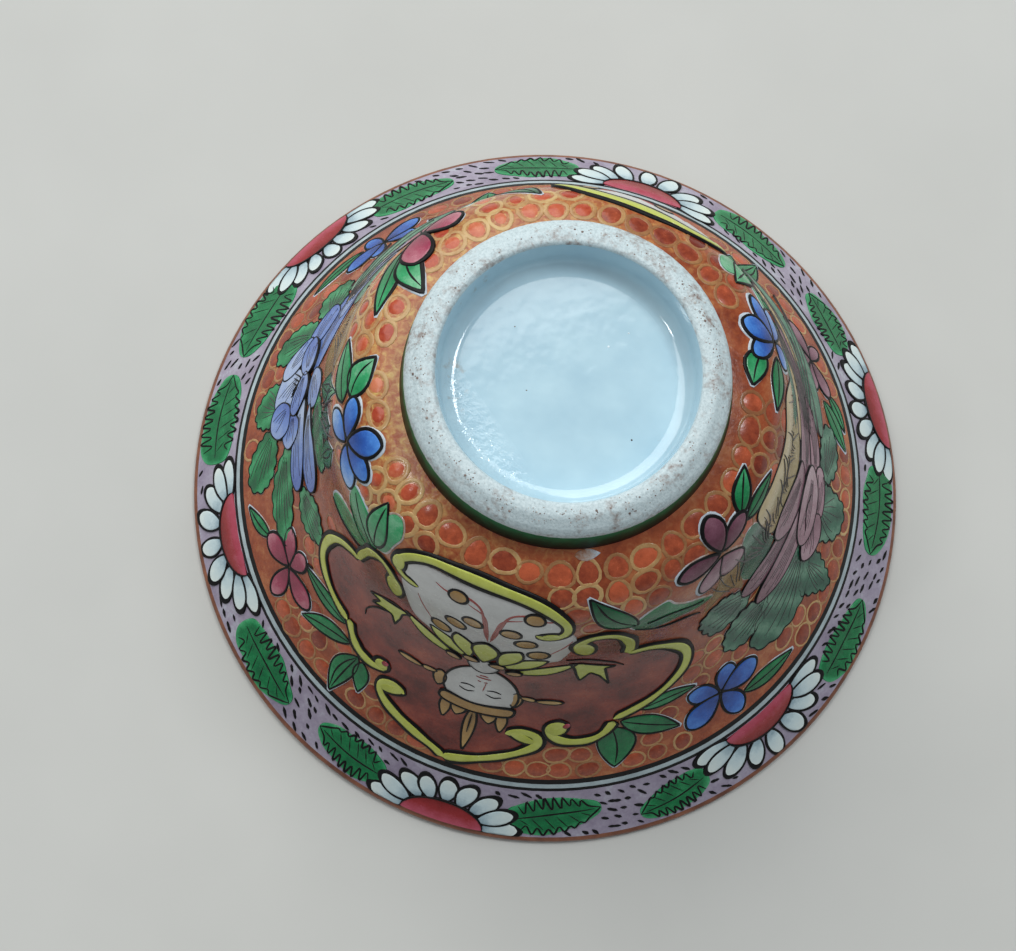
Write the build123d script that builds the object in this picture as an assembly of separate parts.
from build123d import *
import os

# Enamelled porcelain gaiwan bowl, all sizes in millimetres.
#
# The bowl is stored upturned, standing on its rim with the foot ring on top.
# +Z is up and is the axis of revolution. The origin is the centre of the
# plane that the rim stands on.
#
# A bowl like this is thrown and fired as one piece of porcelain. Its other
# pieces are the coats laid on that body one firing after another: clear glaze
# inside and in the foot recess, and bands of coloured enamel outside. Each
# coat is a closed solid of its own, and meets the porcelain face to face.
#
# Every section is drawn with X as the radius and Y as the height, and is
# then revolved about Y and stood up along Z.

# ---- driving dimensions -------------------------------------------------

HEIGHT = 60.4
LIP_THICKNESS = 1.3
BASE_THICKNESS = 2.5
ENAMEL = 0.2
GLAZE = 0.25

# Outer wall from the rim to the root of the foot ring, as (radius, height).
WALL_POINTS = [
    (51.77, 1.15),
    (44.7, 7.8),
    (37.4, 16.8),
    (32.2, 27.1),
    (29.5, 37.5),
    (27.5, 47.6),
    (24.6, 52.0),
    (19.6, 54.2),
]
WALL_START_DIRECTION = (-0.77, 0.64)
WALL_END_DIRECTION = (-0.97, 0.24)

# Foot ring.
FOOT_ROOT_RADIUS = WALL_POINTS[-1][0]
FOOT_ROOT_HEIGHT = WALL_POINTS[-1][1]
FOOT_SHOULDER_RADIUS = 18.85
FOOT_SHOULDER_HEIGHT = 59.0
FOOT_CREST_RADIUS = 17.0
FOOT_OUTER_FILLET = 1.6
FOOT_INNER_FILLET = 0.6

# Recess inside the foot ring.
RECESS_DEPTH = 4.8
RECESS_MOUTH_RADIUS = 15.45
RECESS_FLOOR_RADIUS = 14.6
RECESS_FILLET = 2.0
RECESS_GLAZE_MARGIN = 0.4

# Inside of the bowl.
FLOOR_THICKNESS = 3.0
BOWL_FLOOR_HEIGHT = HEIGHT - RECESS_DEPTH - FLOOR_THICKNESS

# Heights where one painted band ends and the next begins, rim to foot.
GILDING_TOP = 1.45
BORDER_TOP = 7.25
OUTER_LINE_TOP = 7.65
WHITE_LINE_TOP = 8.2
INNER_LINE_TOP = 8.85
FOOT_LINE_TOP = 54.8
FOOT_BAND_TOP = 58.0

# Rim gilding: how thick it is round the lip, and how far it stays off the table.
GILDING = 0.15
GILDING_CLEARANCE = 0.15

# A cutting shape runs this far past the surface that it cuts.
MARGIN = 0.6
WALL_STATIONS = 15

# ---- section curves -----------------------------------------------------

OUTER_WALL = Spline(*WALL_POINTS, tangents=(WALL_START_DIRECTION, WALL_END_DIRECTION))


def below_wall(t, depth):
    """Point under the outer wall, at fraction t of the way from rim to foot."""
    along = OUTER_WALL % t
    inward = Vector(-along.Y, along.X)
    return (OUTER_WALL @ t) + inward * depth


def wall_curve(depth):
    """The outer wall, moved into the porcelain by depth."""
    stations = [i / (WALL_STATIONS - 1) for i in range(WALL_STATIONS)]
    points = [below_wall(t, depth) for t in stations]
    return Spline(*points, tangents=(OUTER_WALL % 0, OUTER_WALL % 1))


def inner_curve(under):
    """The inner surface from the lip to the axis, moved into the porcelain."""
    points = []
    for i in range(WALL_STATIONS):
        t = i / (WALL_STATIONS - 1)
        thickness = LIP_THICKNESS + (BASE_THICKNESS - LIP_THICKNESS) * t
        points.append(below_wall(t, thickness - under))
    centre = Vector(0, BOWL_FLOOR_HEIGHT + under)
    return Spline(*points, centre, tangents=(OUTER_WALL % 0, (-1, 0)))


def between(curve_a, curve_b):
    """Face between two curves that run the same way."""
    start = Line(curve_a @ 0, curve_b @ 0)
    end = Line(curve_a @ 1, curve_b @ 1)
    return make_face([curve_a, end, curve_b, start])


def strip(bottom, top):
    """Everything between two heights."""
    width = 2 * WALL_POINTS[0][0]
    middle = (bottom + top) / 2
    return Pos(width / 2, middle) * Rectangle(width + 2 * MARGIN, top - bottom)


# ---- whole section ------------------------------------------------------

def foot_section():
    """Foot ring with no recess, from inside the base up to its lip."""
    root = FOOT_ROOT_HEIGHT
    below_root = FOOT_ROOT_HEIGHT - BASE_THICKNESS / 2
    outline = Polyline(
        (0, below_root),
        (FOOT_ROOT_RADIUS, below_root),
        (FOOT_ROOT_RADIUS, root),
        (FOOT_SHOULDER_RADIUS, FOOT_SHOULDER_HEIGHT),
        (FOOT_CREST_RADIUS, HEIGHT),
        (0, HEIGHT),
        close=True,
    )
    face = make_face(outline)
    bevel_corners = face.vertices().sort_by(Axis.Y)[-3:].sort_by(Axis.X)[-2:]
    return fillet(bevel_corners, FOOT_OUTER_FILLET)


def recess_section(under):
    """Recess in the foot ring, grown into the porcelain by under."""
    floor = HEIGHT - RECESS_DEPTH - under
    outline = Polyline(
        (-MARGIN, floor),
        (RECESS_FLOOR_RADIUS + under, floor),
        (RECESS_MOUTH_RADIUS + under, HEIGHT + MARGIN),
        (-MARGIN, HEIGHT + MARGIN),
        close=True,
    )
    face = make_face(outline)
    floor_corner = face.vertices().sort_by(Axis.Y)[:2].sort_by(Axis.X)[-1]
    return fillet(floor_corner, RECESS_FILLET + under)


def lip_centre():
    """Centre of the round that ends the wall at the rim."""
    return below_wall(0, LIP_THICKNESS / 2)


def whole_section():
    """Section through the finished bowl, with every coat on."""
    outer = wall_curve(0)
    inner = inner_curve(0)
    to_axis = Line(outer @ 1, (0, FOOT_ROOT_HEIGHT))
    axis = Line((0, FOOT_ROOT_HEIGHT), inner @ 1)
    rim = Line(inner @ 0, outer @ 0)
    wall = make_face([outer, to_axis, axis, inner, rim])
    lip = Pos(lip_centre()) * Circle(LIP_THICKNESS / 2)
    section = wall + lip + foot_section() - recess_section(0)
    corners = section.vertices().filter_by_position(Axis.Y, HEIGHT - 0.01, HEIGHT + 0.01)
    return fillet(corners.sort_by(Axis.X)[0], FOOT_INNER_FILLET)


# ---- cutting shapes for the coats ---------------------------------------

def wall_coat_zone():
    """Zone that holds the enamel on the outer wall."""
    return between(wall_curve(-MARGIN), wall_curve(ENAMEL))


def foot_coat_zone():
    """Zone that holds the enamel on the outside of the foot ring."""
    outline = Polyline(
        (FOOT_ROOT_RADIUS - ENAMEL, FOOT_ROOT_HEIGHT),
        (FOOT_ROOT_RADIUS + MARGIN, FOOT_ROOT_HEIGHT),
        (FOOT_SHOULDER_RADIUS + MARGIN, FOOT_SHOULDER_HEIGHT),
        (FOOT_SHOULDER_RADIUS - ENAMEL, FOOT_SHOULDER_HEIGHT),
        close=True,
    )
    return make_face(outline)


def inside_coat_zone():
    """Zone that holds the glaze inside the bowl."""
    return between(inner_curve(-MARGIN), inner_curve(GLAZE))


def recess_coat_zone():
    """Zone that holds the glaze in the foot recess."""
    glaze_top = HEIGHT - RECESS_GLAZE_MARGIN
    return recess_section(GLAZE) & strip(BOWL_FLOOR_HEIGHT, glaze_top)


def gilding_zone():
    """Zone round the outside of the lip that holds the gilding."""
    centre = lip_centre()
    ring = Pos(centre) * (Circle(LIP_THICKNESS) - Circle(LIP_THICKNESS / 2 - GILDING))
    outside = Pos(centre.X + LIP_THICKNESS, centre.Y) * Rectangle(2 * LIP_THICKNESS, 4 * LIP_THICKNESS)
    lip_part = ring & outside & strip(GILDING_CLEARANCE, WALL_POINTS[0][1])
    wall_part = wall_coat_zone() & strip(GILDING_CLEARANCE, GILDING_TOP)
    return lip_part + wall_part


# ---- pieces -------------------------------------------------------------

def revolved(section):
    """Revolve a section about Y and stand it up along Z."""
    return Rot(90, 0, 0) * revolve(section, Axis.Y)


def painted_bands(section):
    """Sections of the enamel bands on the outer wall, keyed by name."""
    wall_coat = section & wall_coat_zone()
    bands = {
        "border_enamel": (GILDING_TOP, BORDER_TOP),
        "outer_line": (BORDER_TOP, OUTER_LINE_TOP),
        "white_line_band": (OUTER_LINE_TOP, WHITE_LINE_TOP),
        "inner_line": (WHITE_LINE_TOP, INNER_LINE_TOP),
        "wall_ground_enamel": (INNER_LINE_TOP, FOOT_ROOT_HEIGHT + MARGIN),
    }
    return {name: wall_coat & strip(*heights) for name, heights in bands.items()}


def foot_bands(section):
    """Sections of the two bands on the outside of the foot ring."""
    foot_coat = section & foot_coat_zone()
    return {
        "foot_line": foot_coat & strip(FOOT_ROOT_HEIGHT, FOOT_LINE_TOP),
        "foot_band_enamel": foot_coat & strip(FOOT_LINE_TOP, FOOT_BAND_TOP),
    }


def build_pieces():
    """Every piece of the bowl, keyed by its name."""
    section = whole_section()
    coats = {
        "inside_glaze": section & inside_coat_zone(),
        "foot_recess_glaze": section & recess_coat_zone(),
        "rim_gilding": section & gilding_zone(),
    }
    coats.update(painted_bands(section))
    coats.update(foot_bands(section))
    body = section
    for coat in coats.values():
        body = body - coat
    sections = {"porcelain_body": body, **coats}
    return {name: revolved(piece) for name, piece in sections.items()}


os.makedirs("parts", exist_ok=True)
for node, solid in build_pieces().items():
    export_step(solid, f"parts/{node}.step")
